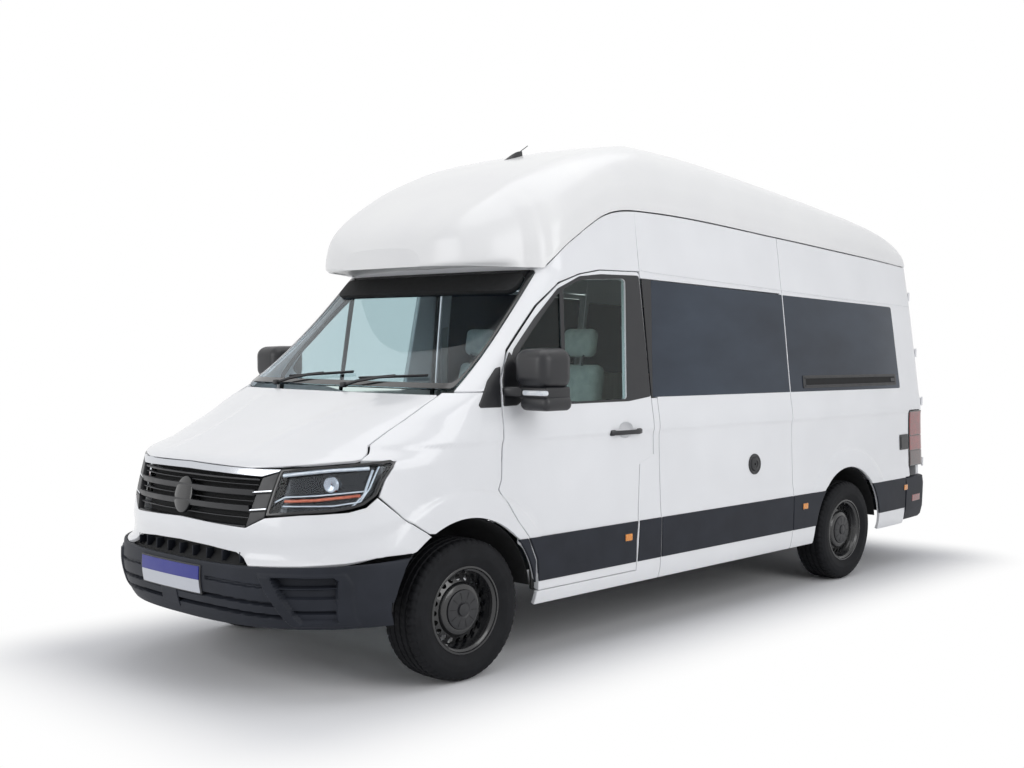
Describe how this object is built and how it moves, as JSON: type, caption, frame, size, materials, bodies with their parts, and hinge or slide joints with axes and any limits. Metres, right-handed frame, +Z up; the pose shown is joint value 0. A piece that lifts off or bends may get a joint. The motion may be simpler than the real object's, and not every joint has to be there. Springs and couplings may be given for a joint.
{
  "type": "camper van with moulded high roof",
  "caption": "Long white panel-van camper with a moulded high roof and alcove, opening bonnet, cab doors and rear doors, steered front wheels and turning road wheels.",
  "frame": {"origin": "on the ground plane, on the centre plane, at mid length", "axes": "+Z up, -Y towards the nose, +X towards the vehicle's left side"},
  "size_m": [2.427, 5.986, 2.9363],
  "materials": {
    "paint_white": "smooth gloss white paint",
    "roof_white": "white gelcoat of a moulded roof",
    "plastic_dark": "charcoal grained plastic",
    "plastic_black": "black plastic",
    "glass_clear": "clear glass",
    "glass_tint": "dark tinted glass",
    "lamp_clear": "clear lamp cover",
    "lamp_red": "red lamp cover",
    "steel_under": "black underbody paint",
    "engine_iron": "cast block",
    "tyre": "black tyre rubber",
    "wheel_black": "gloss black steel",
    "fabric_seat": "grey woven cover",
    "panel_wood": "light furniture board",
    "exhaust_steel": "bare steel pipe",
    "tank_plastic": "black moulded tank"
  },
  "bodies": {
    "van": {"side_panel_left": "paint_white", "side_panel_right": "paint_white", "sliding_door": "paint_white", "high_roof": "roof_white", "cab_frame": "paint_white", "front_wings": "paint_white", "front_panel": "paint_white", "front_bumper": "plastic_dark", "grille": "plastic_black", "headlamps": "lamp_clear", "windscreen": "glass_clear", "side_windows": "glass_tint", "side_trims": "plastic_dark", "floor_pan": "steel_under", "wheel_housings": "steel_under", "engine_block": "engine_iron", "front_subframe": "steel_under", "rear_axle": "steel_under", "underfloor_tanks": "tank_plastic", "exhaust": "exhaust_steel", "rear_bumper": "plastic_dark", "tail_lamps": "lamp_red", "dashboard": "plastic_dark", "steering_wheel": "plastic_black", "cab_seats": "fabric_seat", "furniture": "panel_wood", "cushions": "fabric_seat", "wipers": "plastic_black", "roof_fittings": "plastic_black"},
    "bonnet": {"hood": "paint_white"},
    "front_door_left": {"door_left": "paint_white", "door_left_glass": "glass_clear", "mirror_left": "plastic_black"},
    "front_door_right": {"door_right": "paint_white", "door_right_glass": "glass_clear", "mirror_right": "plastic_black"},
    "rear_door_l": {"rear_door_left": "paint_white", "rear_door_left_glass": "glass_tint"},
    "rear_door_r": {"rear_door_right": "paint_white", "rear_door_right_glass": "glass_tint"},
    "steer_l": {"knuckle_left": "steel_under"},
    "steer_r": {"knuckle_right": "steel_under"},
    "road_wheel_fl": {"tyre_front_left": "tyre", "wheel_front_left": "wheel_black"},
    "road_wheel_fr": {"tyre_front_right": "tyre", "wheel_front_right": "wheel_black"},
    "road_wheel_rl": {"tyre_rear_left": "tyre", "wheel_rear_left": "wheel_black"},
    "road_wheel_rr": {"tyre_rear_right": "tyre", "wheel_rear_right": "wheel_black"}
  },
  "joints": [
    {"name": "bonnet_hinge", "type": "hinge", "parent": "van", "child": "bonnet", "pos_m": [0, -1.985, 1.385], "axis": [-1, 0, 0], "range_deg": [0, 55]},
    {"name": "front_door_left_hinge", "type": "hinge", "parent": "van", "child": "front_door_left", "pos_m": [1, -1.748, 0.85], "axis": [0, 0, -1], "range_deg": [0, 68]},
    {"name": "front_door_right_hinge", "type": "hinge", "parent": "van", "child": "front_door_right", "pos_m": [-1, -1.748, 0.85], "axis": [0, 0, 1], "range_deg": [0, 68]},
    {"name": "rear_door_left_hinge", "type": "hinge", "parent": "van", "child": "rear_door_l", "pos_m": [0.9, 2.893, 1.2], "axis": [0, 0, -1], "range_deg": [0, 180]},
    {"name": "rear_door_right_hinge", "type": "hinge", "parent": "van", "child": "rear_door_r", "pos_m": [-0.9, 2.893, 1.2], "axis": [0, 0, 1], "range_deg": [0, 180]},
    {"name": "steering_left", "type": "hinge", "parent": "van", "child": "steer_l", "pos_m": [0.794, -1.992, 0.351], "axis": [0, 0, 1], "range_deg": [-34, 34]},
    {"name": "steering_right", "type": "hinge", "parent": "van", "child": "steer_r", "pos_m": [-0.794, -1.992, 0.351], "axis": [0, 0, 1], "range_deg": [-34, 34]},
    {"name": "wheel_front_left_spin", "type": "hinge", "parent": "steer_l", "child": "road_wheel_fl", "pos_m": [0.879, -1.992, 0.351], "axis": [1, 0, 0], "continuous": true},
    {"name": "wheel_front_right_spin", "type": "hinge", "parent": "steer_r", "child": "road_wheel_fr", "pos_m": [-0.879, -1.992, 0.351], "axis": [1, 0, 0], "continuous": true},
    {"name": "wheel_rear_left_spin", "type": "hinge", "parent": "van", "child": "road_wheel_rl", "pos_m": [0.874, 1.648, 0.351], "axis": [1, 0, 0], "continuous": true},
    {"name": "wheel_rear_right_spin", "type": "hinge", "parent": "van", "child": "road_wheel_rr", "pos_m": [-0.874, 1.648, 0.351], "axis": [1, 0, 0], "continuous": true}
  ],
  "couplings": [
    {"joint": "steering_right", "follows": "steering_left", "ratio": 1}
  ]
}
